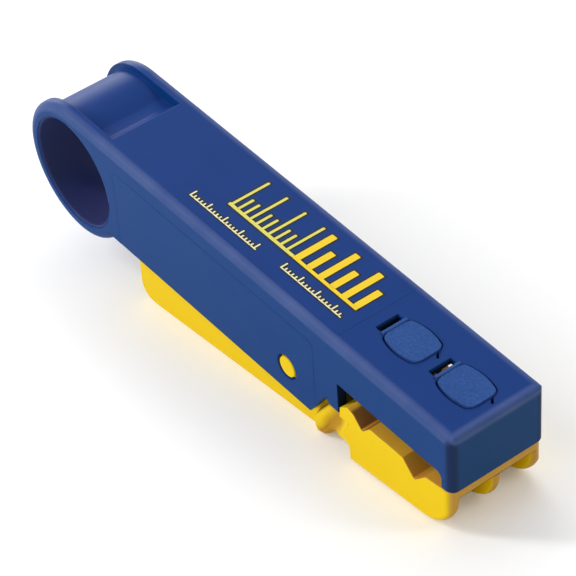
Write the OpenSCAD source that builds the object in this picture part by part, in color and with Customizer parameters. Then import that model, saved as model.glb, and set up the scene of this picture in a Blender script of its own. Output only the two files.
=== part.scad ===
// Hand tool that strips a coaxial cable: a hollow body with a finger ring at its tail,
// a sprung lever that closes a notched jaw under the head, and two blade cartridges in the roof.
// The body is drawn along X from the ring's centre, with Z up from its skirt edge.
// The last transform lays the tool on the lever's flat underside, below the pivot.

/* [Body] */
// Distance from the ring's centre to the front end face
front_x = 112.6; // [112:0.1:120]
// Width across the flat sides
body_w = 20.9; // [19:0.1:24]
// Thickness of the side walls
wall = 2; // [1.6:0.1:2.4]
// Thickness of the roof
roof = 1.6; // [1.3:0.1:2]
// Thickness of the front end wall
end_wall = 2.6; // [2:0.1:3.2]
// Fillet of the long top edges and the upright front corners
edge_r = 1.6; // [0.8:0.1:1.9]
// Fillet of the top front edge
brow_r = 0.8; // [0.3:0.1:1.2]
// Thickness of the ribs inside the body
rib_t = 1.2; // [0.8:0.1:1.6]
// Depth of the ribs under the roof
rib_h = 3; // [2:0.1:4]
// Distance between the cross ribs and the spring
rib_pitch = 12; // [10:0.5:13]
// Depth of the faint panels on the roof and the sides
panel_depth = 0.04; // [0.04:0.01:0.2]

/* [Finger ring] */
// Radius of the finger hole
ring_bore_r = 11.4; // [10.5:0.1:12.5]
// Thickness of the ring's web
ring_web = 1.9; // [1.5:0.1:2.4]
// Height of the two flanges above the web
flange_h = 1.35; // [0.8:0.05:1.8]
// Width of each flange
flange_w = 2.7; // [2.2:0.1:3.5]
// Height of the ring's centre above the skirt edge
ring_z = 8.5; // [7:0.1:9.5]
// Rounding of the finger hole's edges
bore_edge_r = 0.7; // [0.3:0.1:0.9]
// Where the ramp behind the ring reaches the roof
ramp_x = 12; // [11:0.1:14]
// Angle round the ring at which the ramp leaves the web
ramp_turn = 22; // [16:1:28]

/* [Skirt and windows] */
// Front end of the skirt edge
skirt_x = 73.2; // [71:0.1:75]
// Lean of the skirt's front edge from level
skirt_lean = 57; // [50:1:65]
// Height of the tongue that hangs behind the window
tongue_z = 6.15; // [5.5:0.05:7]
// Rear edge of the cable window
window_x = 81.7; // [80:0.1:83]
// Top edge of the cable window
window_z = 13.3; // [12.5:0.1:14]
// Length of the foot in front of the window
foot_l = 2.8; // [2.6:0.1:4]
// Height of the foot's lower face
foot_z = 10.1; // [9.5:0.1:11]

/* [Pivot] */
// Distance from the ring's centre to the lever pivot
pivot_x = 66.8; // [64:0.1:69]
// Height of the lever pivot
pivot_z = 6.2; // [5.5:0.1:7]
// Radius of the lever's trunnions
trunnion_r = 2.6; // [2.2:0.1:3]
// Radius of the small end boss that shows in each pivot hole
trunnion_end_r = 2.15; // [1.5:0.05:2.3]
// Running clearance of the trunnions in their holes
pivot_fit = 0.05; // [0.02:0.01:0.09]
// Thickness of the bearing bosses inside the side walls
bearing_boss = 1; // [0.6:0.1:1.4]

/* [Lever] */
// Angle between the lever's underside and the body
lever_lean = 7.36; // [6:0.02:9]
// Distance from the pivot to the flat underside
underside_drop = 12.44; // [11.5:0.02:13.5]
// Rear end of the tail
tail_x = 17; // [16.5:0.1:20]
// Rounding of the tail's lower rear corner
tail_r = 3.2; // [1.5:0.1:4]
// Height of the tail's side walls at its rear end
tail_z = 1.5; // [0.5:0.1:1.9]
// Height of the tail's walls above the pivot
hub_rise = 3.4; // [3:0.1:4]
// Thickness of the tail's floor and walls
lever_wall = 2; // [1.6:0.1:2.4]
// Clearance between the tail and the body's walls
side_gap = 0.25; // [0.2:0.05:0.4]
// Clearance between the closed lever and the body
close_gap = 0.3; // [0.25:0.05:0.5]
// Length of the knob behind the neck
knob_l = 2.2; // [2:0.1:3]
// Rounding of the knob's lower corners
knob_r = 1.2; // [0.6:0.1:1.3]
// Height of the neck's underside in the middle
neck_z = -0.9; // [-1.5:0.1:0]
// Depth of the scoop in each side of the neck
scoop = 0.9; // [0.4:0.1:1.2]
// Radius of that scoop
scoop_r = 3; // [2.5:0.1:5]
// Thickness of the neck's floor
neck_floor = 2.3; // [2:0.1:2.6]

/* [Jaw] */
// Distance from the window's rear edge to the jaw's rear face
jaw_back = 2.8; // [2.4:0.1:4]
// Height of the jaw's flat top
jaw_z = 9.05; // [8.6:0.05:9.4]
// Heights of the heel that fills the window's rear edge
heel = [5.5, 7.9]; // [5:0.1:8]
// Height of the front lip under the foot
lip_z = 9.8; // [9.5:0.05:9.8]
// Radius of the nose
nose_r = 9; // [7:0.1:10]
// Rounding of the nose's upright corners
nose_edge_r = 2.1; // [1.6:0.1:2.6]
// Width of the side ribs
side_rib_w = 2.5; // [2.2:0.1:3.4]
// Width of the middle rib
mid_rib_w = 1.8; // [1.4:0.1:6]
// Rounding of the ribs' lower edges
rib_edge_r = 1.2; // [0.6:0.1:1.35]
// Thickness of the plate under the deeper notch
jaw_plate = 1.9; // [1.5:0.1:2.4]
// Thickness of the lip's plate at the nose
lip_plate = 1.8; // [1.4:0.1:2]

/* [Cable stations] */
// Distance from the window's rear edge to the first cable's middle
station_back = 6.6; // [6.2:0.1:7]
// Distance between the two cables
station_pitch = 14.2; // [13.8:0.1:15]
// Depth of each notch
notch_depth = [2.1, 2.8]; // [1.5:0.1:3]
// Half the opening angle of the notches
notch_half = 47; // [42:1:50]
// Distance between the two cuts along the cable
strip_step = 6.35; // [5:0.05:6.5]
// Cutting depth of the outer blades, for each station
jacket_cut = [1.1, 1.3]; // [0.8:0.05:1.6]
// Cutting depth of the inner blades, for each station
core_cut = [2.8, 3.3]; // [2:0.05:3.4]

/* [Cartridges] */
// Half the width of the pad at its widest
pad_half = 3.8; // [3.5:0.05:4.2]
// Radius of the pad's bowed sides
pad_side_r = 12; // [10:0.5:16]
// Rounding of the pad's corners
pad_corner_r = 2.2; // [1:0.1:2.6]
// Length of the pad
pad_l = 9.1; // [8.5:0.1:9.4]
// Height of the pad above the roof
pad_rise = 0.35; // [0.2:0.05:0.6]
// Gap at the pad's sides
pad_gap = 0.35; // [0.2:0.05:0.45]
// Clearance at the pad's front edge
pad_seam = 0.05; // [0.03:0.01:0.1]
// Width of the pry slot behind the pad
slot_l = 1.9; // [1.5:0.1:2.1]
// Length of the pry slot across the roof
slot_w = 5; // [4:0.1:5.2]
// Thickness of the lip in front of the slot
lip_t = 0.7; // [0.5:0.05:0.8]
// Height of that lip above the pad
lip_rise = 0.15; // [0.1:0.05:0.4]
// Width of the snap tongue under the pad's front
tongue_w = 3.2; // [2.6:0.1:3.4]
// Reach of the snap tongue under the roof
tongue_l = 0.6; // [0.4:0.1:0.8]
// Clearance of the cartridge between its guides
guide_gap = 0.1; // [0.05:0.05:0.15]

/* [Blades] */
// Width of the blades along the tool
blade_w = 6; // [5.4:0.1:6.2]
// Thickness of the blades
blade_t = 0.4; // [0.3:0.05:0.6]
// Height of the ground edge
grind_h = 0.8; // [0.5:0.1:1]
// Height of the blades' upper ends
blade_top = 20.2; // [19:0.1:20.6]
// Radius of the pin that holds a pair of blades
blade_pin_r = 0.8; // [0.6:0.05:1]
// Height of that pin
blade_pin_z = 17.6; // [17:0.1:18.2]
// Clearance round the blades and the pin
blade_gap = 0.05; // [0.03:0.01:0.08]

/* [Spring] */
// Distance from the pivot back to the spring
spring_back = 29; // [26:0.5:32]
// Outer radius of the spring
spring_r = 4; // [3.6:0.1:4.6]
// Thickness of the spring wire
wire_d = 0.9; // [0.7:0.05:1.1]
// Length of the spring with the jaw closed
spring_l = 25; // [22:0.5:26]
// Open turns of the spring
spring_turns = 8; // [6:1:10]
// Clearance round the posts inside the spring
post_gap = 0.3; // [0.2:0.05:0.4]
// Height of the posts
post_h = 4; // [3:0.5:5]
// Distance from the spring to the bulkhead in the lever's tail
spring_room = 2.2; // [1:0.1:3]

/* [Hidden] */
$fn = 96;
eps = 0.01;
far = 200;
half_w = body_w / 2;
inner_w = half_w - wall;
ring_web_r = ring_bore_r + ring_web;
ring_r = ring_web_r + flange_h;
top_z = ring_z + ring_r;
roof_z = top_z - roof;
window_front = front_x - foot_l;
tail_half = inner_w - side_gap;
spring_x = pivot_x - spring_back;
hub_r = 2 * trunnion_r + 0.6;
bulkhead_x = spring_x + spring_r + spring_room;
station_x = [for (i = [0, 1]) window_x + station_back + i * station_pitch];
// Stretches of the faint panels, seen from above and from the side
label_panel = [32.3, 80.5, 8.6];
side_panel = [14.5, 75, 18.2];

// Ramp from the ring's web up to the roof: an arc that leaves the web without a step
ramp_dir = [sin(ramp_turn), cos(ramp_turn)];
ramp_foot = [0, ring_z] + ring_web_r * ramp_dir;
ramp_span = [ramp_x, top_z] - ramp_foot;
ramp_r = (ramp_span * ramp_span) / (2 * (ramp_span * ramp_dir));
ramp_mid = ramp_foot + ramp_r * ramp_dir;

// Height of the lever's flat underside, in the body's own frame
function under_z(x) = pivot_z - underside_drop / cos(lever_lean) + (x - pivot_x) * tan(lever_lean);

// Distance along the floor from the pivot to a point of the body's frame
function floor_x(p) = (p.x - pivot_x) * cos(lever_lean) + (p.y - pivot_z) * sin(lever_lean);

nose_front = front_x - 0.3;
nose_mid = [nose_front - nose_r, under_z(nose_front - nose_r) + nose_r / cos(lever_lean)];
jaw_x = window_x + jaw_back;
knob_x = skirt_x + 0.1;

// Cartridge stations: lip, pad and block places measured from the cable's middle
lip_x = -3.3;
pad_x = lip_x + lip_t;
pad_mid = pad_x + pad_l / 2;
pad_front = pad_x + pad_l;
block_half = blade_w / 2 + 0.1;
block_w = strip_step + blade_t + 0.7;
block_z = window_z + 0.5;
guide_z = block_z + 0.2;
stop_z = guide_z + 3.5;
shoulder_z = roof_z - guide_gap;
tongue_t = 0.8;
// Release slit at the pad's far front corner: length, width, place across the roof, turn
release = [1.6, 0.45, 1.5, 37];
spring_seat_z = lever_wall + spring_l;
spring_mid_r = spring_r - wire_d / 2;
post_r = spring_r - wire_d - post_gap;

// Points of an outline whose corners are [x, y, radius]
function corner(a, p, b, r) =
  let (u = (a - p) / norm(a - p), v = (b - p) / norm(b - p), bend = acos(u * v))
  let (mid = p + (u + v) / norm(u + v) * r / sin(bend / 2), from = p + u * r / tan(bend / 2) - mid)
  let (turn = (180 - bend) * (u.x * v.y - u.y * v.x > 0 ? -1 : 1), steps = ceil((180 - bend) / 10))
  [for (i = [0 : steps]) let (a = turn * i / steps)
    mid + [from.x * cos(a) - from.y * sin(a), from.x * sin(a) + from.y * cos(a)]];
function flat(p) = [p.x, p.y];
function rounded(pts) = let (n = len(pts))
  [for (i = [0 : n - 1]) each pts[i][2] == 0 ? [flat(pts[i])]
    : corner(flat(pts[(i + n - 1) % n]), flat(pts[i]), flat(pts[(i + 1) % n]), pts[i][2])];

// Side view outline drawn across the tool, centred on its middle plane
module across(width) {
  rotate([90, 0, 0]) linear_extrude(width, center = true) children();
}

// End view outline drawn along the tool from x0 to x1
module along(x0, x1) {
  translate([x0, 0, 0]) rotate([90, 0, 90]) linear_extrude(x1 - x0) children();
}

// Round bar across the tool at [x, z]
module cross_bar(place, radius, width) {
  translate([place.x, 0, place.y]) rotate([90, 0, 0]) cylinder(h = width, r = radius, center = true);
}

// Stands body coordinates on the floor, on the lever's flat underside
module lay_down() {
  translate([0, 0, underside_drop]) rotate([0, lever_lean, 0]) translate([-pivot_x, 0, -pivot_z]) children();
}

// Side view of the body in front of the ring
module body_side() {
  rise = 7.3;
  slant = (rise + 0.1) / tan(skirt_lean);
  polygon(rounded([
    [0, 0, 0],
    [skirt_x, 0, 0.7],
    [skirt_x + slant, rise, 0.3],
    [skirt_x + slant + 1.3, tongue_z, 0.2],
    [window_x, tongue_z, 0],
    [window_x, window_z, 0],
    [window_front, window_z, 1.2],
    [window_front, foot_z, 0],
    [front_x, foot_z, 0],
    [front_x, top_z, brow_r],
    [0, top_z, 0]
  ]));
}

module body_end() {
  polygon(rounded([
    [-half_w, -far, 0], [half_w, -far, 0], [half_w, top_z, edge_r], [-half_w, top_z, edge_r]
  ]));
}

// Plan outline that rounds the upright corners of the body's front and of the lever's head
module plan(x0, x1, rear_r, front_r) {
  linear_extrude(far, center = true) polygon(rounded([
    [x0, -half_w, rear_r], [x1, -half_w, front_r], [x1, half_w, front_r], [x0, half_w, rear_r]
  ]));
}

// Section of a ring between two radii, with rounded edges inside and outside
module ring_section(r0, r1, inner_edge, outer_edge) {
  polygon(rounded([
    [r0, -half_w, inner_edge], [r1, -half_w, outer_edge], [r1, half_w, outer_edge], [r0, half_w, inner_edge]
  ]));
}

// Finger ring: a collar round the bore, and the rim that the body closes at its top front quarter
module finger_ring() {
  translate([0, 0, ring_z]) rotate([90, 0, 0]) {
    rotate_extrude() ring_section(ring_bore_r, ring_bore_r + 0.7 * ring_web, bore_edge_r, 0);
    rotate([0, 0, 90]) rotate_extrude(angle = 270)
      ring_section(ring_bore_r + 0.3 * ring_web, ring_r, 0, edge_r);
  }
}

// Channel between the flanges, closed in front by the ramp
module ring_channel() {
  across(body_w - 2 * flange_w) difference() {
    polygon([[-far, -far], [-far, far], [ramp_x, far], [ramp_x, top_z], [ramp_foot.x, ring_z], [0, ring_z],
      [ring_web_r - 1.5, -far]]);
    translate([0, ring_z]) circle(ring_web_r);
    difference() {
      polygon([[ramp_foot.x, ring_z], ramp_foot, [ramp_x, top_z], [ramp_x, ring_z]]);
      translate(ramp_mid) circle(ramp_r);
    }
    polygon([[ramp_foot.x - 1, ring_z], [ramp_foot.x, ramp_foot.y - 0.3], [ramp_x, ramp_foot.y - 0.3],
      [ramp_x, ring_z]]);
  }
}

// Hollow of the body, open underneath
module body_cavity() {
  across(2 * inner_w) difference() {
    polygon([[ring_web_r - 4, -far], [ring_web_r - 4, roof_z], [front_x - end_wall, roof_z],
      [front_x - end_wall, -far]]);
    translate([0, ring_z]) circle(ring_web_r);
    translate(ramp_mid) circle(ramp_r + roof);
  }
}

// Pad outline about the cable's middle: bowed sides and round corners
module pad_outline(side_grow, front_grow) {
  w = pad_half + side_grow;
  r = pad_corner_r + side_grow;
  intersection() {
    translate([pad_mid, pad_side_r - pad_half]) circle(pad_side_r + side_grow);
    translate([pad_mid, pad_half - pad_side_r]) circle(pad_side_r + side_grow);
    polygon(rounded([
      [pad_x - side_grow, -w, r], [pad_front + front_grow, -w, r],
      [pad_front + front_grow, w, r], [pad_x - side_grow, w, r]
    ]));
  }
}

// Opening in the roof for one cartridge, its pry slot, the release slit and the snap tongue's pocket
module cartridge_opening() {
  slot_x = lip_x - slot_l;
  translate([0, 0, roof_z - eps]) linear_extrude(far) pad_outline(pad_gap, pad_seam);
  translate([slot_x, -slot_w / 2, roof_z - eps]) cube([slot_l + 1, slot_w, far]);
  translate([lip_x - eps, -slot_w / 2 - 0.4, roof_z - eps]) cube([1, slot_w + 0.8, far]);
  translate([pad_front - 0.2, release[2], roof_z - eps]) rotate([0, 0, -release[3]])
    cube([release[0], release[1], far]);
  translate([pad_x, -tongue_w / 2 - guide_gap, roof_z - tongue_t - 2 * guide_gap])
    cube([pad_l + pad_seam + tongue_l + guide_gap, tongue_w + 2 * guide_gap, tongue_t + 2 * guide_gap]);
}

// Guide walls and end stops that hold one cartridge under the roof
module cartridge_guides() {
  guide_y = block_w / 2 + guide_gap;
  for (side = [0, 1]) mirror([0, side, 0]) {
    translate([-block_half - 0.6, guide_y, guide_z]) cube([2 * block_half + 1, rib_t, roof_z - guide_z + eps]);
    translate([block_half + guide_gap, 1.9, stop_z]) cube([1, guide_y - 1.9 + rib_t, roof_z - stop_z + eps]);
  }
}

module housing() {
  color([0.17, 0.29, 0.52]) lay_down() difference() {
    union() {
      difference() {
        union() {
          difference() {
            intersection() {
              across(body_w) body_side();
              along(0, front_x) body_end();
              plan(0, front_x, 0, edge_r);
            }
            cross_bar([0, ring_z], ring_bore_r + 0.5 * ring_web, 2 * body_w);
          }
          finger_ring();
        }
        ring_channel();
        body_cavity();
      }
      for (side = [0, 1]) mirror([0, side, 0])
        translate([pivot_x, inner_w - bearing_boss, pivot_z]) rotate([-90, 0, 0])
          cylinder(h = bearing_boss + eps, r = 2 * trunnion_r);
      for (x = station_x) translate([x, 0, 0]) cartridge_guides();
      body_ribs();
      spring_cup();
    }
    cross_bar([pivot_x, pivot_z], trunnion_r + pivot_fit, 2 * body_w);
    for (x = station_x) translate([x, 0, 0]) cartridge_opening();
    roof_panel();
    side_panels();
  }
}

// Ribs that stiffen the roof
module body_ribs() {
  translate([ramp_x + 3, -rib_t / 2, roof_z - rib_h]) cube([window_x - ramp_x - 6, rib_t, rib_h + eps]);
  for (x = [spring_x - rib_pitch, spring_x + rib_pitch, spring_x + 2 * rib_pitch, window_x - 3])
    translate([x, -inner_w - eps, roof_z - rib_h]) cube([rib_t, 2 * inner_w + 2 * eps, rib_h + eps]);
}

// Boss and post that the spring's upper end sits on, square to the closed lever
module spring_cup() {
  intersection() {
    across(far) polygon([[0, -far], [0, roof_z + eps], [window_x, roof_z + eps], [window_x, -far]]);
    translate([pivot_x, 0, pivot_z]) rotate([0, -lever_lean, 0]) translate([-spring_back, 0, -underside_drop]) {
      translate([0, 0, spring_seat_z]) cylinder(h = far, r = spring_r + 0.8);
      translate([0, 0, spring_seat_z - post_h]) cylinder(h = far, r = post_r);
    }
  }
}

// Faint sunk panel of the roof, left bare
module roof_panel() {
  translate([label_panel[0], -label_panel[2], top_z - panel_depth])
    cube([label_panel[1] - label_panel[0], 2 * label_panel[2], 1]);
}

// Faint sunk panels of the two sides, from the tail to just past the pivot
module side_panels() {
  for (side = [0, 1]) mirror([0, side, 0])
    translate([0, half_w - panel_depth, 0]) rotate([-90, 0, 0]) mirror([0, 1, 0]) linear_extrude(1)
      polygon(rounded([[side_panel[0], -1, 0], [side_panel[1], -1, 0], [side_panel[1], side_panel[2], 1.5],
        [side_panel[0], side_panel[2], 1.5]]));
}

// Side view of the lever's tail, which runs inside the body's walls
module tail_side() {
  polygon(rounded([
    [tail_x, under_z(tail_x), tail_r],
    [knob_x + 0.5, under_z(knob_x + 0.5), 0],
    [knob_x + 0.5, neck_z + 0.5, 0],
    [jaw_x + 1, neck_z + 1.4, 0],
    [jaw_x + 1, 4.6, 0],
    [pivot_x + hub_r, pivot_z + hub_rise, 2],
    [pivot_x - hub_r, pivot_z + hub_rise, 3],
    [pivot_x - 2 * hub_r, tail_z + 2.5, 3],
    [tail_x, tail_z, 1]
  ]));
}

// Hollow of the tail, open on top, with a straight floor
module tail_pocket(x0, x1) {
  across(2 * (tail_half - lever_wall)) polygon([
    [x0, under_z(x0) + lever_wall / cos(lever_lean)], [x1, under_z(x1) + lever_wall / cos(lever_lean)],
    [x1, far], [x0, far]
  ]);
}

// Side view of the knob and the neck, flush with the body's sides
module neck_side() {
  rise = 6.1;
  slant = (rise + 0.9) / tan(skirt_lean);
  polygon(rounded([
    [knob_x, under_z(knob_x), knob_r],
    [knob_x + knob_l, under_z(knob_x + knob_l), knob_r],
    [knob_x + knob_l + 3, neck_z, 1.5],
    [jaw_x + 1, neck_z + 0.35, 0],
    [jaw_x + 1, 6, 0],
    [window_x - 0.1, tongue_z - 0.5, 0],
    [knob_x + slant + 0.9, rise, 0.3],
    [knob_x, -0.9, 0.4]
  ]));
}

// Side view of the jaw's top, with its two notches
module jaw_side() {
  polygon(concat(
    [[jaw_x, -far], [jaw_x, heel[0] + 0.1], [window_x + close_gap, heel[0]],
      [window_x + close_gap + 0.2, heel[1]],
      [jaw_x - 0.3, jaw_z + 0.4], [jaw_x + 0.6, jaw_z + 0.35]],
    [for (i = [0, 1]) let (w = notch_depth[i] * tan(notch_half)) each
      [[station_x[i] - w, jaw_z], [station_x[i] - 0.25, jaw_z - notch_depth[i]],
        [station_x[i] + 0.25, jaw_z - notch_depth[i]], [station_x[i] + w, jaw_z]]],
    [[front_x - foot_l, lip_z], [front_x, lip_z], [front_x, -far]]
  ));
}

// Plate that the notches are cut into, with its hollow underside
module jaw_plate_side() {
  low = jaw_z - notch_depth[1] - jaw_plate;
  lip_low = lip_z - lip_plate;
  polygon([
    [window_x - 2, low], [station_x[1] + 3, low], [station_x[1] + 6.2, lip_low], [front_x, lip_low],
    [front_x, top_z], [window_x - 2, top_z]
  ]);
}

// Long rib under the jaw that curves up round the nose, drawn on the floor
module jaw_rib(y0, y1) {
  run = floor_x(nose_mid) - floor_x([window_x - 2, neck_z]);
  edge = min(rib_edge_r, (y1 - y0) / 2 - 0.1);
  translate([floor_x(nose_mid), 0, nose_r]) {
    along(-run, 0) polygon(rounded([
      [y0, -nose_r, edge], [y1, -nose_r, edge], [y1, nose_r, 0], [y0, nose_r, 0]
    ]));
    rotate([90, 0, 0]) rotate([0, 0, -90]) rotate_extrude(angle = 120) polygon(rounded([
      [0, -y1, 0], [nose_r, -y1, edge], [nose_r, -y0, edge], [0, -y0, 0]
    ]));
  }
}

module jaw() {
  intersection() {
    lay_down() plan(knob_x, nose_front, 0, nose_edge_r);
    lay_down() across(far) jaw_side();
    union() {
      lay_down() {
        across(body_w - 2 * eps) jaw_plate_side();
        across(body_w - 0.2) polygon([[jaw_x, neck_z], [jaw_x + 1.8, neck_z], [jaw_x + 1.8, 6], [jaw_x, 6]]);
      }
      jaw_rib(-half_w, -half_w + side_rib_w);
      jaw_rib(half_w - side_rib_w, half_w);
      jaw_rib(-mid_rib_w / 2, mid_rib_w / 2);
    }
  }
}

module clamp_lever() {
  color([0.94, 0.8, 0.14]) {
    lay_down() {
      difference() {
        union() {
          across(2 * tail_half) tail_side();
          intersection() {
            across(body_w - 2 * eps) neck_side();
            plan(knob_x, front_x, edge_r, 0);
          }
        }
        tail_pocket(tail_x + lever_wall, bulkhead_x);
        tail_pocket(bulkhead_x + rib_t, pivot_x - hub_r);
        across(2 * (tail_half - lever_wall)) polygon([[pivot_x + hub_r, neck_z + neck_floor],
          [jaw_x - 2, neck_z + neck_floor], [jaw_x - 2, far], [pivot_x + hub_r, far]]);
        for (side = [0, 1]) mirror([0, side, 0]) {
          translate([pivot_x, inner_w - bearing_boss - side_gap, pivot_z]) rotate([-90, 0, 0])
            cylinder(h = far, r = hub_r);
          translate([knob_x + knob_l + 3.7, half_w - scoop + scoop_r, 1]) rotate([0, 90 - skirt_lean, 0])
            cylinder(h = far, r = scoop_r, center = true);
        }
      }
      trunnions();
      spring_post();
    }
    jaw();
  }
}

// Pivot bar: bearing lengths in the body's bosses and small end bosses that show outside
module trunnions() {
  cross_bar([pivot_x, pivot_z], trunnion_r, 2 * (half_w - 0.9));
  cross_bar([pivot_x, pivot_z], trunnion_end_r, 2 * (half_w - 0.1));
}

module spring_post() {
  translate([pivot_x, 0, pivot_z]) rotate([0, -lever_lean, 0])
    translate([-spring_back, 0, lever_wall - underside_drop - eps]) cylinder(h = post_h + eps, r = post_r);
}

// Wire centre line: a closed turn at each end and open turns between
function coil_z(turn) =
  turn < 1 ? wire_d * (turn + 0.5)
  : turn > spring_turns + 1 ? spring_l - wire_d * (spring_turns + 2.5 - turn)
  : wire_d * 1.5 + (spring_l - 3 * wire_d) * (turn - 1) / spring_turns;

module lever_spring() {
  sides = 6;
  per_turn = 18;
  rings = per_turn * (spring_turns + 2);
  points = [for (i = [0 : rings], k = [0 : sides - 1])
    let (a = 360 * i / per_turn, b = 360 * k / sides, r = spring_mid_r + wire_d / 2 * cos(b))
    [r * cos(a), r * sin(a), coil_z(i / per_turn) + wire_d / 2 * sin(b)]];
  sides_faces = [for (i = [0 : rings - 1], k = [0 : sides - 1])
    let (a = i * sides + k, b = i * sides + (k + 1) % sides) each [[a, b, a + sides], [b, b + sides, a + sides]]];
  caps = [[for (k = [sides - 1 : -1 : 0]) k], [for (k = [0 : sides - 1]) rings * sides + k]];
  color([0.72, 0.73, 0.75]) translate([-spring_back, 0, lever_wall])
    polyhedron(points = points, faces = concat(sides_faces, caps), convexity = 10);
}

// One cartridge: pad, lip and snap tongue over a block with two blade slots
module cartridge(i) {
  lay_down() translate([station_x[i], 0, 0]) difference() {
    union() {
      translate([0, 0, shoulder_z - eps]) linear_extrude(top_z + pad_rise - shoulder_z + eps) pad_outline(0, 0);
      translate([pad_front - 2.4, -tongue_w / 2, shoulder_z - tongue_t]) {
        cube([1.4, tongue_w, tongue_t]);
        cube([2.4 + pad_seam + tongue_l, tongue_w, tongue_t]);
      }
      translate([lip_x, -slot_w / 2 - 0.3, roof_z]) cube([lip_t, slot_w + 0.6, roof + pad_rise + lip_rise]);
      translate([lip_x, -slot_w / 2 - 0.3, roof_z]) cube([lip_t + 1, slot_w + 0.6, roof - 0.3]);
      translate([-block_half, -block_w / 2, block_z]) cube([2 * block_half, block_w, shoulder_z - block_z]);
    }
    for (side = [-1, 1])
      translate([-blade_w / 2 - blade_gap, side * strip_step / 2 - blade_t / 2 - blade_gap, 0])
        cube([blade_w + 2 * blade_gap, blade_t + 2 * blade_gap, blade_top]);
    cross_bar([0, blade_pin_z], blade_pin_r + blade_gap, 2 * block_w);
  }
}

// One blade: a ground plate that hangs across the cable, held by the pin
module blade(i, side, cut) {
  edge_z = window_z - cut;
  color([0.8, 0.81, 0.83]) lay_down() translate([station_x[i], side * strip_step / 2, 0]) difference() {
    along(-blade_w / 2, blade_w / 2) polygon([
      [-blade_t / 2, edge_z + grind_h], [0, edge_z], [blade_t / 2, edge_z + grind_h],
      [blade_t / 2, blade_top], [-blade_t / 2, blade_top]
    ]);
    cross_bar([0, blade_pin_z], blade_pin_r + blade_gap, far);
  }
}

module blade_pin(i) {
  color([0.75, 0.75, 0.77]) lay_down() translate([station_x[i], 0, 0])
    cross_bar([0, blade_pin_z], blade_pin_r, block_w);
}

module rear_cartridge() { color([0.24, 0.37, 0.6]) cartridge(0); }
module rear_jacket_blade() { blade(0, -1, jacket_cut[0]); }
module rear_core_blade() { blade(0, 1, core_cut[0]); }
module rear_blade_pin() { blade_pin(0); }
module front_cartridge() { color([0.24, 0.37, 0.6]) cartridge(1); }
module front_jacket_blade() { blade(1, -1, jacket_cut[1]); }
module front_core_blade() { blade(1, 1, core_cut[1]); }
module front_blade_pin() { blade_pin(1); }

housing();
clamp_lever();
lever_spring();
rear_cartridge();
rear_jacket_blade();
rear_core_blade();
rear_blade_pin();
front_cartridge();
front_jacket_blade();
front_core_blade();
front_blade_pin();
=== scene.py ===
# Coaxial cable stripper: finishes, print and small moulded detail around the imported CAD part
import bmesh
import bpy
import math
from mathutils import Matrix, Vector
from mathutils.bvhtree import BVHTree


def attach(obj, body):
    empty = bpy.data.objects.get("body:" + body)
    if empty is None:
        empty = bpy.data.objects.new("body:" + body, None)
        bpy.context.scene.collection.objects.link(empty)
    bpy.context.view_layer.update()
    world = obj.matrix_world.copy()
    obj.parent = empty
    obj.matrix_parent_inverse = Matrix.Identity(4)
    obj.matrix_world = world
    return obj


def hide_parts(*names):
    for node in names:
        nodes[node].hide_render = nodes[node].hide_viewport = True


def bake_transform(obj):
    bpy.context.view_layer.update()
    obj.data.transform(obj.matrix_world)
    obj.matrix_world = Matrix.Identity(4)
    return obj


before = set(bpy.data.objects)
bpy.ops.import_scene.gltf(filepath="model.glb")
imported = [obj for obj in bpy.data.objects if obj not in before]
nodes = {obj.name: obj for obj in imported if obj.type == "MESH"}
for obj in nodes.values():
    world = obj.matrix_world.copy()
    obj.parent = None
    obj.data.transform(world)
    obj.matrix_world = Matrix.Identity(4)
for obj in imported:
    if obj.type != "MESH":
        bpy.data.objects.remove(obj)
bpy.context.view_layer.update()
print("frame loaded:", len(nodes), "CAD nodes")

mm = 0.001

# The CAD draws the body level and then lays the tool on its lever, so this matrix goes from body to floor
bodyFrame = {"pivot": (66.8, 6.2), "drop": 12.44, "lean": 7.36}


def bodyToFloor():
    lean = math.radians(bodyFrame["lean"])
    px, pz = bodyFrame["pivot"]
    return (Matrix.Scale(mm, 4) @ Matrix.Translation((0, 0, bodyFrame["drop"]))
            @ Matrix.Rotation(lean, 4, "Y") @ Matrix.Translation((-px, 0, -pz)))


toFloor = bodyToFloor()

# Camera first
cameraSetup = {
    "place": (0.34627, -0.22040, 0.33660),
    "right": (0.6011, 0.7886, -0.1305),
    "up": (-0.4214, 0.4517, 0.7864),
    "lens": 181.34,
}


def makeCamera():
    data = bpy.data.cameras.new("photoCamera")
    data.lens = cameraSetup["lens"]
    data.clip_start = 0.01
    data.clip_end = 20
    camera = bpy.data.objects.new("photoCamera", data)
    bpy.context.collection.objects.link(camera)
    right = Vector(cameraSetup["right"]).normalized()
    up = Vector(cameraSetup["up"])
    up = (up - right * up.dot(right)).normalized()
    turn = Matrix((right, up, right.cross(up))).transposed()
    camera.matrix_world = Matrix.Translation(cameraSetup["place"]) @ turn.to_4x4()
    bpy.context.scene.camera = camera


makeCamera()
print("camera placed")


# Shader maths as plain expressions: a Field wraps one socket
class Field:
    def __init__(self, tree, socket):
        self.tree = tree
        self.socket = socket

    def maths(self, operation, *values, clamp=False):
        return self.tree.add("ShaderNodeMath", {"operation": operation, "use_clamp": clamp}, (self,) + values)

    def __add__(self, other):
        return self.maths("ADD", other)

    def __radd__(self, other):
        return self.maths("ADD", other)

    def __sub__(self, other):
        return self.maths("SUBTRACT", other)

    def __rsub__(self, other):
        return self.tree.add("ShaderNodeMath", {"operation": "SUBTRACT"}, (other, self))

    def __mul__(self, other):
        return self.maths("MULTIPLY", other)

    def __rmul__(self, other):
        return self.maths("MULTIPLY", other)

    def __truediv__(self, other):
        return self.maths("DIVIDE", other)

    def __gt__(self, other):
        return self.maths("GREATER_THAN", other)

    def __lt__(self, other):
        return self.maths("LESS_THAN", other)


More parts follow.
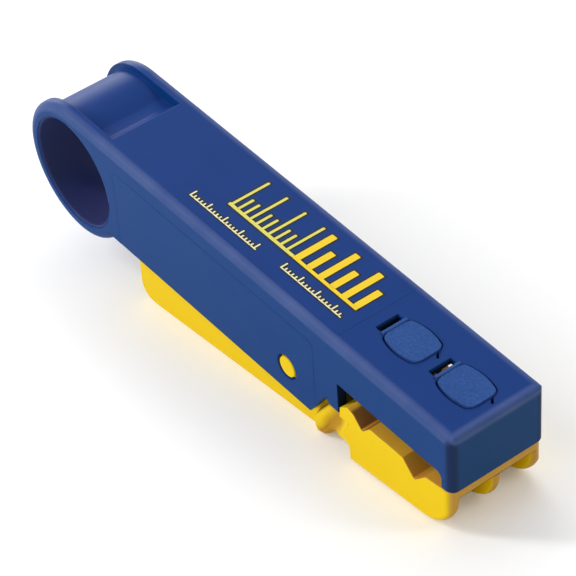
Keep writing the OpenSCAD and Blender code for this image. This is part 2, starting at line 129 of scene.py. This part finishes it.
class Tree:
    def __init__(self, name):
        self.material = bpy.data.materials.new(name)
        self.material.use_nodes = True
        self.nodes = self.material.node_tree.nodes
        self.links = self.material.node_tree.links
        self.nodes.clear()
        self.shader = self.nodes.new("ShaderNodeBsdfPrincipled")
        output = self.nodes.new("ShaderNodeOutputMaterial")
        self.links.new(self.shader.outputs[0], output.inputs[0])

    # One node: its settings first, then its inputs by order or by name
    def add(self, kind, settings=None, values=(), named=None, out=0):
        made = self.nodes.new(kind)
        for key, value in (settings or {}).items():
            setattr(made, key, value)
        for slot, value in list(enumerate(values)) + list((named or {}).items()):
            self.feed(made.inputs[slot], value)
        return Field(self, made.outputs[out])

    def feed(self, socket, value):
        if isinstance(value, Field):
            self.links.new(value.socket, socket)
        else:
            socket.default_value = value

    def set(self, **sockets):
        for name, value in sockets.items():
            self.feed(self.shader.inputs[name.replace("_", " ")], value)
        return self

    def place(self):
        return self.add("ShaderNodeTexCoord", out=3)

    def noise(self, size, detail=2.0, rough=0.5, where=None):
        named = {"Vector": where or self.place(), "Scale": 1 / size, "Detail": detail, "Roughness": rough}
        return self.add("ShaderNodeTexNoise", None, (), named)

    def bump(self, height, depth, under=None):
        named = {"Height": height, "Distance": depth, "Strength": 1.0}
        if under:
            named["Normal"] = under
        return self.add("ShaderNodeBump", None, (), named)

    def mix(self, factor, first, second):
        made = self.nodes.new("ShaderNodeMix")
        made.data_type = "RGBA"
        self.feed(made.inputs[0], factor)
        self.feed(made.inputs[6], first)
        self.feed(made.inputs[7], second)
        return Field(self, made.outputs[2])


def colour(red, green, blue):
    # An sRGB colour as the eye reads it, turned linear for the shader
    def linear(value):
        value = value / 255
        return value / 12.92 if value <= 0.04045 else ((value + 0.055) / 1.055) ** 2.4
    return (linear(red), linear(green), linear(blue), 1.0)


# Moulded plastic: cloudiness in the colour, a fine grain, softened edges, and gloss that varies slightly; the last
# argument adds more to the colour: a sandy grain on the pads, painted light and shade on the housing and the jaw
def moulded(name, main, cloud, gloss, grain, depth, edge, grainAndPaintedLight=None):
    tree = Tree(name)
    cloudy = tree.noise(9 * mm, 3.0)
    fine = tree.noise(grain, 2.0, 0.6)
    soft = tree.add("ShaderNodeBevel", {"samples": 6}, (edge,))
    paint = tree.mix(cloudy, main, cloud)
    if grainAndPaintedLight:
        paint = grainAndPaintedLight(tree, paint, cloudy)
    tree.set(Base_Color=paint, Roughness=gloss + cloudy * 0.08 - 0.04, Normal=tree.bump(fine, depth, soft))
    tree.set(IOR=1.46, Specular_IOR_Level=0.05)
    return tree.material


# Painted shade: the ring's bore is darkened towards a dull grey-purple, as shadow darkens it
boreShade = {"reach": 11.5, "fade": 0.4, "colour": colour(66, 62, 100), "share": 0.62}
# Painted highlight: the long edges of the body and the ring's rims are painted a little lighter, and the upright front
# corner gets a painted shade
edgeHighlightAndShade = {"ringUp": 8.5, "ringOut": 14.65, "half": 10.45, "roof": 23.15, "front": 112.6, "round": 1.6,
            "band": 0.7, "colour": colour(98, 113, 158), "share": 0.42, "corner": colour(34, 36, 46), "cornerShadeShare": 0.55}


# Painted light by face direction: the sides are tinted a cyan blue and the front end a darker blue, as the lamps light
# them; painted shade darkens the hollow, the skirt's lower edge and the window's rear jamb
shade = {"sides": colour(12, 62, 125), "end": colour(28, 66, 110), "paintedShade": colour(8, 10, 26),
         "within": 9.3, "below": 22.6, "rear": 16.0, "front": 111.2, "skirt": 0.3, "window": (81.2, 82.3)}


# Where a point is on the level body, in millimetres
def onBody(tree):
    place, turn, scale = toFloor.inverted().decompose()
    named = {"Vector": tree.place(), "Location": place, "Rotation": turn.to_euler(), "Scale": scale}
    parts = tree.add("ShaderNodeSeparateXYZ", None, (tree.add("ShaderNodeMapping", None, (), named),)).socket.node
    return [Field(tree, output) for output in parts.outputs]


def ramp(value, start, run):
    return ((value - start) / run).maths("MULTIPLY", 1.0, clamp=True)


# paints light and shade onto the housing's blue
def paintLightOnHousing(tree, paint, cloudy):
    along, across, up = onBody(tree)
    side = across.maths("ABSOLUTE")
    lift = up - edgeHighlightAndShade["ringUp"]
    far = (along * along + lift * lift).maths("SQRT")
    faces = tree.add("ShaderNodeSeparateXYZ", None, (tree.add("ShaderNodeTexCoord", out=1),)).socket.node
    forward, sideways = Field(tree, faces.outputs[0]), Field(tree, faces.outputs[1]).maths("ABSOLUTE")
    # painted light: side faces get a cyan blue and the front end a darker blue, following how the lamps light each
    # face
    paint = tree.mix(ramp(sideways, 0.6, 0.35), paint, shade["sides"])
    paint = tree.mix(ramp(forward, 0.6, 0.35), paint, shade["end"])
    # painted shade: the hollow inside, the skirt's lower edge and the window's rear jamb are darkened
    within = ramp(shade["within"] - side, 0, 0.2) * ramp(shade["below"] - up, 0, 0.3)
    within = within * ramp(along, shade["rear"], 0.3) * ramp(shade["front"] - along, 0, 0.3)
    low = ramp(shade["skirt"] - up, 0, 0.15) * ramp(along, shade["rear"], 0.3)
    jamb = ramp(along, shade["window"][0], 0.1) * ramp(shade["window"][1] - along, 0, 0.1) * ramp(forward, 0.5, 0.3)
    shadeMask = (within * 0.75).maths("MAXIMUM", low * 0.5).maths("MAXIMUM", jamb * 0.8)
    paint = tree.mix(shadeMask, paint, shade["paintedShade"])
    # painted shade in the ring's bore, broken up by the cloudiness
    bore = ramp(boreShade["reach"] - far, -boreShade["fade"], boreShade["fade"])
    paint = tree.mix(bore * (cloudy * 0.4 + boreShade["share"] - 0.2), paint, boreShade["colour"])

    # A rounded edge is where two faces' distances add up to nearly their corner's
    def edgeBand(first, second, corner):
        short = corner - edgeHighlightAndShade["round"] - 0.45 * edgeHighlightAndShade["band"]
        return ramp(first + second, short, edgeHighlightAndShade["band"])

    behind = along < 0.0
    # painted highlight along the ring's rims, the long top edges and the front top edge
    rims = edgeBand(side, far, edgeHighlightAndShade["half"] + edgeHighlightAndShade["ringOut"]) * behind
    long = edgeBand(side, up, edgeHighlightAndShade["half"] + edgeHighlightAndShade["roof"]) * (1.0 - behind)
    end = edgeBand(along, up, edgeHighlightAndShade["front"] + edgeHighlightAndShade["roof"])
    edges = rims.maths("MAXIMUM", long).maths("MAXIMUM", end)
    paint = tree.mix(edges * (cloudy * 0.5 + edgeHighlightAndShade["share"] - 0.25), paint, edgeHighlightAndShade["colour"])
    # painted shade down the upright front corner
    upright = edgeBand(along, side, edgeHighlightAndShade["front"] + edgeHighlightAndShade["half"]) * (1.0 - end)
    return tree.mix(upright * edgeHighlightAndShade["cornerShadeShare"], paint, edgeHighlightAndShade["corner"])


# Painted shade: the jaw's upward faces under the head are browned, most of all in its rear notch and least in the
# middle. The nose and the scoops of the neck get a browner yellow as painted shade
jawShade = {
    "start": 84.0, "reach": 3.0 * mm, "colour": colour(222, 142, 72), "share": 0.62,
    "notch": colour(112, 66, 52), "rearShare": 0.75, "frontShare": 0.25, "between": 95.0, "end": 107.0,
    "middle": 4.0 * mm, "nose": colour(184, 132, 72), "noseShare": 0.8,
    "neck": (73.5, 83.5), "half": 10.45 * mm, "scoop": colour(170, 106, 28), "scoopShare": 0.75,
}


def paintShadeOnJaw(tree, paint, cloudy):
    start, between, end, neckRear, neckFront = [
        (toFloor @ Vector((along, 0, 0))).x
        for along in (jawShade["start"], jawShade["between"], jawShade["end"], *jawShade["neck"])]
    parts = tree.add("ShaderNodeSeparateXYZ", None, (tree.place(),)).socket.node
    along, side = Field(tree, parts.outputs[0]), Field(tree, parts.outputs[1]).maths("ABSOLUTE")
    faces = tree.add("ShaderNodeSeparateXYZ", None, (tree.add("ShaderNodeTexCoord", out=1),)).socket.node
    forward, upward = Field(tree, faces.outputs[0]), Field(tree, faces.outputs[2])
    # painted shade: the jaw's upward faces from its rear onward are browned, less in the middle
    bare = ramp(along, start, jawShade["reach"]) * ramp(upward, 0.15, 0.25)
    outer = ramp(side, jawShade["middle"], 2 * mm) * 0.8 + 0.2
    paint = tree.mix(bare * outer * (cloudy * 0.5 + jawShade["share"] - 0.25), paint, jawShade["colour"])
    # painted shade in the notches, heavier in the rear notch than the front
    front = ramp(along, between, 1 * mm)
    share = front * (jawShade["frontShare"] - jawShade["rearShare"]) + jawShade["rearShare"]
    notch = bare * ramp(0.93 - upward, 0, 0.08) * ramp(end - along, 0, 1 * mm)
    paint = tree.mix(notch * outer * share, paint, jawShade["notch"])
    # painted shade on the nose's forward faces
    paint = tree.mix(ramp(along, end, 1 * mm) * ramp(forward, 0.3, 0.5) * jawShade["noseShare"], paint, jawShade["nose"])
    # painted shade in the neck's scoops, sunk from the side face
    neck = ramp(along, neckRear, 1 * mm) * ramp(neckFront - along, 0, 2 * mm)
    sunk = ramp(jawShade["half"] - side, 0.12 * mm, 0.7 * mm) * ramp(side, 8.5 * mm, 0.5 * mm)
    return tree.mix(neck * sunk * jawShade["scoopShare"], paint, jawShade["scoop"])


# The pads have a sandy grip, each grain a little lighter or darker than the next
padGrip = {"grain": 0.42 * mm, "light": colour(72, 104, 162), "dark": colour(28, 58, 116), "share": 0.28}


def wornPad(tree, paint, cloudy):
    sand = tree.noise(padGrip["grain"], 1.0, 0.5)
    bright = ((sand - 0.5) * 5.0).maths("MULTIPLY", padGrip["share"], clamp=True)
    deep = ((0.5 - sand) * 5.0).maths("MULTIPLY", padGrip["share"], clamp=True)
    return tree.mix(deep, tree.mix(bright, paint, padGrip["light"]), padGrip["dark"])


def steel(name, main, gloss, streak):
    tree = Tree(name)
    long = tree.add("ShaderNodeMapping", None, (), {"Vector": tree.place(), "Scale": streak})
    lines = tree.noise(0.6 * mm, 3.0, 0.6, long)
    tree.set(Base_Color=main, Metallic=1.0, Roughness=gloss + lines * 0.12)
    return tree.material


plastic = {
    "blue": colour(26, 58, 122),
    "blueCloud": colour(31, 62, 128),
    "yellow": colour(243, 206, 12),
    "yellowCloud": colour(240, 202, 10),
    "pad": colour(40, 74, 136),
    "padCloud": colour(52, 86, 150),
    "edge": 0.16 * mm,
    "grain": 0.35 * mm,
    "grainDepth": 0.004 * mm,
}
bodyBlue = moulded("bodyBlue", plastic["blue"], plastic["blueCloud"], 0.34,
                   plastic["grain"], plastic["grainDepth"], plastic["edge"], paintLightOnHousing)
leverYellow = moulded("leverYellow", plastic["yellow"], plastic["yellowCloud"], 0.36,
                      plastic["grain"], plastic["grainDepth"], plastic["edge"], paintShadeOnJaw)
padBlue = moulded("padBlue", plastic["pad"], plastic["padCloud"], 0.55,
                  0.3 * mm, 0.03 * mm, plastic["edge"], wornPad)
bladeSteel = steel("bladeSteel", colour(205, 207, 210), 0.22, (1.0, 1.0, 0.05))
pinSteel = steel("pinSteel", colour(190, 190, 193), 0.3, (1.0, 0.05, 1.0))
wireSteel = steel("wireSteel", colour(180, 181, 185), 0.3, (1.0, 1.0, 1.0))
nodeFinish = {
    "housing": bodyBlue, "clamp_lever": leverYellow, "lever_spring": wireSteel,
    "rear_cartridge": padBlue, "front_cartridge": padBlue,
    "rear_blade_pin": pinSteel, "front_blade_pin": pinSteel,
}
for name, node in nodes.items():
    node.data.materials.clear()
    node.data.materials.append(nodeFinish.get(name, bladeSteel))
print("finishes given to", len(nodes), "nodes")

# Printed on the roof panel: a scale with a fine half and a bold half, and two small rows of ticks
scalePrint = {
    "panel": 23.11,
    "line": (40.6, 77.6, -2.5, -1.8),
    "fine": {"start": 40.9, "pitch": 1.8, "count": 10, "width": 0.6, "short": 3.6, "long": 8.6, "every": 3},
    "bold": {"start": 59.6, "pitch": 3.3, "count": 6, "width": 1.5, "short": 5.6, "long": 8.6, "every": 2},
    "rim": 0.36,
    "round": 0.2,
    "height": 0.03,
    "yellow": colour(246, 210, 40),
    "pale": colour(226, 218, 104),
    "rimInk": colour(16, 20, 22),
}
tickRows = {
    "rows": [(34.0, 53.8, -6.3), (60.2, 77.3, -5.7)],
    "pitch": 0.95,
    "width": 0.34,
    "short": 0.9,
    "long": 1.7,
    "every": 5,
    "rim": 0.26,
    "cream": colour(238, 232, 186),
}


def ticks(row, base):
    marks = []
    for number in range(row["count"]):
        left = row["start"] + number * row["pitch"]
        tall = row["long"] if number % row["every"] == 0 else row["short"]
        marks.append((left, left + row["width"], base, base + tall))
    return marks


# Each mark is a thin slab of ink with round corners, drawn on the level body and laid where the body is
def inkPiece(name, marks, swell, top, material):
    shape = bmesh.new()
    low = scalePrint["panel"] - 0.02
    for number, (left, right, near, far) in enumerate(marks):
        high = scalePrint["panel"] + top + 0.002 * (number % 2)
        size = (right - left + 2 * swell, far - near + 2 * swell, high - low)
        middle = ((left + right) / 2, (near + far) / 2, (low + high) / 2)
        place = Matrix.Translation(middle) @ Matrix.Diagonal((*size, 1))
        slab = bmesh.ops.create_cube(shape, size=1, matrix=place)["verts"]
        upright = [edge for edge in {e for v in slab for e in v.link_edges}
                   if abs(edge.verts[0].co.z - edge.verts[1].co.z) > 0.5 * (high - low)]
        bmesh.ops.bevel(shape, geom=upright, offset=min(scalePrint["round"], 0.4 * min(size[:2])), segments=2,
                        profile=0.5, affect="EDGES", material=-1, clamp_overlap=True)
    bmesh.ops.transform(shape, matrix=toFloor, verts=shape.verts)
    data = bpy.data.meshes.new(name)
    shape.to_mesh(data)
    shape.free()
    data.materials.append(material)
    piece = bpy.data.objects.new(name, data)
    bpy.context.collection.objects.link(piece)
    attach(piece, "body")
    return piece


# Ink: a thin dry film with tiny breaks in its colour
def ink(name, main):
    tree = Tree(name)
    speck = tree.noise(0.25 * mm, 3.0, 0.7)
    dull = tree.mix(0.12, main, colour(60, 64, 70))
    tree.set(Base_Color=tree.mix(speck * 0.9 - 0.2, main, dull), Roughness=0.5 + speck * 0.1)
    tree.set(Specular_IOR_Level=0.2)
    return tree.material


def printScale():
    base = scalePrint["line"][3] - 0.1
    left, right, near, far = scalePrint["line"]
    change = scalePrint["bold"]["start"]
    fine = [(left, change, near, far)] + ticks(scalePrint["fine"], base)
    bold = [(change, right, near, far)] + ticks(scalePrint["bold"], base)
    rim = ink("rimInk", scalePrint["rimInk"])
    inkPiece("scaleRim", fine + bold, scalePrint["rim"], scalePrint["height"] * 0.5, rim)
    inkPiece("fineTicks", fine, 0, scalePrint["height"], ink("paleInk", scalePrint["pale"]))
    inkPiece("boldTicks", bold, 0, scalePrint["height"], ink("yellowInk", scalePrint["yellow"]))
    small = []
    for left, right, near in tickRows["rows"]:
        row = dict(tickRows, start=left, count=1 + int((right - left) / tickRows["pitch"]))
        small += [(left, right, near, near + 0.28)] + ticks(row, near)
    inkPiece("rowRim", small, tickRows["rim"], scalePrint["height"] * 0.5, rim)
    inkPiece("rowTicks", small, 0, scalePrint["height"], ink("creamInk", tickRows["cream"]))


printScale()
print("scale printed on the roof")

# The moulded pieces and the spring are copies of their CAD nodes, merged and with their sharp edges broken
# node: new piece, body, material slot, width of the broken edge in millimetres, stretch along the tool left as it is
copies = {
    "housing": ("bodyMoulding", "body", "blue_plastic", 0.15, None),
    "clamp_lever": ("leverMoulding", "lever", "yellow_plastic", 0.15, (5.0, 18.5)),
    "rear_cartridge": ("rearPad", "body", "pad_plastic", 0.1, None),
    "front_cartridge": ("frontPad", "body", "pad_plastic", 0.1, None),
    "lever_spring": ("springCoil", None, "spring_wire", 0, None),
}
breaking = {"merge": 0.002 * mm, "flat": math.radians(0.3), "crease": math.radians(18), "sharp": math.radians(32)}


# Shallow creases between two faces stay crisp, and everything flatter is shaded round
def markCreases(shape):
    for edge in shape.edges:
        edge.smooth = edge.calc_face_angle(0) <= breaking["crease"]


def leftAlone(edge, stretch):
    return stretch is not None and any(stretch[0] * mm < vert.co.x < stretch[1] * mm for vert in edge.verts)


def breakEdges(shape, width, stretch):
    bmesh.ops.dissolve_limit(shape, angle_limit=breaking["flat"], use_dissolve_boundaries=False,
                             verts=shape.verts, edges=shape.edges)
    before = BVHTree.FromBMesh(shape)
    sharp = [edge for edge in shape.edges
             if edge.calc_face_angle(0) > breaking["sharp"] and not leftAlone(edge, stretch)]
    markCreases(shape)
    for edge in sharp:
        edge.smooth = True
    bmesh.ops.bevel(shape, geom=sharp, offset=width, offset_type="OFFSET", segments=2, profile=0.5,
                    affect="EDGES", material=-1, clamp_overlap=False, loop_slide=True)
    # where short edges meet, a corner can shoot out: it goes back to the surface that it came from
    for vert in shape.verts:
        nearest, _, _, gap = before.find_nearest(vert.co)
        if gap > 0.36 * width:
            vert.co = nearest


# The neck is moulded softer than the CAD draws it: small faces are cut there, its underside sags at the sides,
# and it is smoothed where that leaves room to the body
softNeck = {"along": (4.4, 16.3), "heel": (14.2, 6.4), "up": (-0.5, 9.5), "half": 10.45, "deep": 3.0, "step": 0.5, "merge": 0.14,
            "sag": 1.4, "sagAt": 9.8, "sagRun": 3.4, "sagUnder": 5.2, "passes": 14, "share": 0.5, "room": 0.2}


# Where merged corners leave more than two faces at an edge, the smallest ones go and the gap is closed
def mendFolds(shape):
    for attempt in range(10):
        crowded = [edge for edge in shape.edges if len(edge.link_faces) > 2]
        if not crowded:
            break
        spare = set()
        for edge in crowded:
            spare.update(sorted(edge.link_faces, key=lambda face: face.calc_area())[:len(edge.link_faces) - 2])
        bmesh.ops.delete(shape, geom=list(spare), context="FACES")
        bmesh.ops.holes_fill(shape, edges=[edge for edge in shape.edges if len(edge.link_faces) == 1], sides=0)


def softenNeck(shape, around):
    rear, front = (along * mm for along in softNeck["along"])
    low, high = (up * mm for up in softNeck["up"])
    inner = (softNeck["half"] - softNeck["deep"]) * mm
    step = softNeck["step"] * mm
    walls = BVHTree.FromPolygons([vert.co for vert in around.data.vertices],
                                 [face.vertices for face in around.data.polygons])
    cuts = [((rear + step * number, 0, 0), (1, 0, 0)) for number in range(1 + int((front - rear) / step))]
    cuts += [((0, 0, low + step * number), (0, 0, 1)) for number in range(1 + int((high - low) / step))]
    for side in (-1, 1):
        cuts += [((0, side * (inner + step * number), 0), (0, 1, 0))
                 for number in range(int(softNeck["deep"] * mm / step))]
    for place, normal in cuts:
        faces = [face for face in shape.faces
                 if min(vert.co.x for vert in face.verts) < front + step
                 and max(vert.co.x for vert in face.verts) > rear - step
                 and max(abs(vert.co.y) for vert in face.verts) > inner]
        edges = {edge for face in faces for edge in face.edges}
        verts = {vert for face in faces for vert in face.verts}
        bmesh.ops.bisect_plane(shape, geom=[*verts, *edges, *faces], dist=1e-6, plane_co=place, plane_no=normal)

    def inside():
        heel, lift = (value * mm for value in softNeck["heel"])
        return [vert for vert in shape.verts if rear < vert.co.x < front and abs(vert.co.y) > inner
                and (vert.co.x < heel or vert.co.z < lift)]

    bmesh.ops.remove_doubles(shape, verts=inside(), dist=softNeck["merge"] * mm)
    mendFolds(shape)
    bmesh.ops.triangulate(shape, faces=list({face for vert in inside() for face in vert.link_faces}))
    mendFolds(shape)
    moved = inside()
    shape.normal_update()
    for vert in moved:
        under = vert.normal.z < -0.2 and 1 * mm < vert.co.z < softNeck["sagUnder"] * mm
        away = (vert.co.x / mm - softNeck["sagAt"]) / softNeck["sagRun"]
        outer = min(1, max(0, (abs(vert.co.y) - inner) / mm))
        if under and abs(away) < 1:
            vert.co.z -= softNeck["sag"] * mm * outer * (1 - away * away)
    for edge in {edge for vert in moved for edge in vert.link_edges}:
        edge.smooth = True
    for number in range(softNeck["passes"]):
        places = [vert.co.copy() for vert in moved]
        bmesh.ops.smooth_vert(shape, verts=moved, factor=softNeck["share"],
                              use_axis_x=True, use_axis_y=True, use_axis_z=True)
        for vert, place in zip(moved, places):
            if walls.find_nearest(vert.co)[3] < softNeck["room"] * mm:
                vert.co = place


def copyNode(node, name, body, slot, width, stretch):
    shape = bmesh.new()
    shape.from_mesh(nodes[node].data)
    bmesh.ops.remove_doubles(shape, verts=shape.verts, dist=breaking["merge"])
    if width:
        breakEdges(shape, width * mm, stretch)
    else:
        markCreases(shape)
    if stretch:
        softenNeck(shape, bpy.data.objects["bodyMoulding"])
    for face in shape.faces:
        face.smooth = True
    data = bpy.data.meshes.new(name)
    shape.to_mesh(data)
    shape.free()
    data.materials.append(nodeFinish[node])
    piece = bpy.data.objects.new(name, data)
    bpy.context.collection.objects.link(piece)
    if width:
        weighted = piece.modifiers.new("weightedNormals", "WEIGHTED_NORMAL")
        weighted.keep_sharp = True
    if body:
        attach(piece, body)
    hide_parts(node)
    return piece


for node, facts in copies.items():
    copyNode(node, *facts)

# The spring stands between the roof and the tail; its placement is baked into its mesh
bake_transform(bpy.data.objects["springCoil"])
print("edges broken on", len(copies) - 1, "mouldings, spring set between its seats")

# Floor, lamps and world
studio = {
    "floor": 1.6, "floorColour": (0.93, 0.93, 0.93, 1), "floorGlow": 0.14, "worldLight": 0.35,
    "lamps": [
        # name, place, aim, width, height, watts
        ("topSoftbox", (-0.15, 0.20, 0.75), (0, 0, 0.02), 0.6, 0.6, 1.3),
        ("sideSoftbox", (0.10, -0.80, 0.40), (0, 0, 0.02), 0.6, 0.6, 1.8),
        ("edgeStrip", (-0.56, -0.55, 0.62), (0, 0, 0.02), 0.15, 0.75, 4.6),
        ("frontStrip", (0.60, 0.39, 0.62), (0, 0, 0.02), 0.2, 0.5, 1.6),
        ("rearStrip", (-0.82, 0.38, 0.30), (0, 0, 0.02), 0.5, 0.5, 3.4),
    ],
}


def makeStudio():
    shape = bmesh.new()
    bmesh.ops.create_grid(shape, x_segments=1, y_segments=1, size=studio["floor"])
    data = bpy.data.meshes.new("floor")
    shape.to_mesh(data)
    shape.free()
    floor = bpy.data.objects.new("floor", data)
    bpy.context.collection.objects.link(floor)
    tree = Tree("floorPaper")
    tree.set(Base_Color=studio["floorColour"], Roughness=0.9, Specular_IOR_Level=0.0)
    seen = tree.add("ShaderNodeLightPath", out=0)
    tree.set(Emission_Color=(1, 1, 1, 1), Emission_Strength=seen * studio["floorGlow"])
    data.materials.append(tree.material)
    for name, place, aim, width, height, watts in studio["lamps"]:
        light = bpy.data.lights.new(name, "AREA")
        light.shape = "RECTANGLE"
        light.size = width
        light.size_y = height
        light.energy = watts
        lamp = bpy.data.objects.new(name, light)
        bpy.context.collection.objects.link(lamp)
        lamp.location = place
        lamp.rotation_euler = (Vector(aim) - Vector(place)).to_track_quat("-Z", "Y").to_euler()
    world = bpy.data.worlds.new("studioWorld")
    bpy.context.scene.world = world
    world.use_nodes = True
    links = world.node_tree.links
    background = world.node_tree.nodes["Background"]
    background.inputs["Color"].default_value = (1, 1, 1, 1)
    path = world.node_tree.nodes.new("ShaderNodeLightPath")
    seen = world.node_tree.nodes.new("ShaderNodeMix")
    seen.inputs[2].default_value = studio["worldLight"]
    seen.inputs[3].default_value = 1.0
    straight = world.node_tree.nodes.new("ShaderNodeMath")
    straight.operation = "MAXIMUM"
    either = world.node_tree.nodes.new("ShaderNodeMath")
    either.operation = "MAXIMUM"
    links.new(path.outputs["Is Glossy Ray"], either.inputs[0])
    links.new(path.outputs["Is Transmission Ray"], either.inputs[1])
    links.new(path.outputs["Is Camera Ray"], straight.inputs[0])
    links.new(either.outputs[0], straight.inputs[1])
    links.new(straight.outputs[0], seen.inputs[0])
    links.new(seen.outputs[0], background.inputs["Strength"])
    bpy.context.scene.view_settings.view_transform = "Standard"


makeStudio()
print("studio lit")
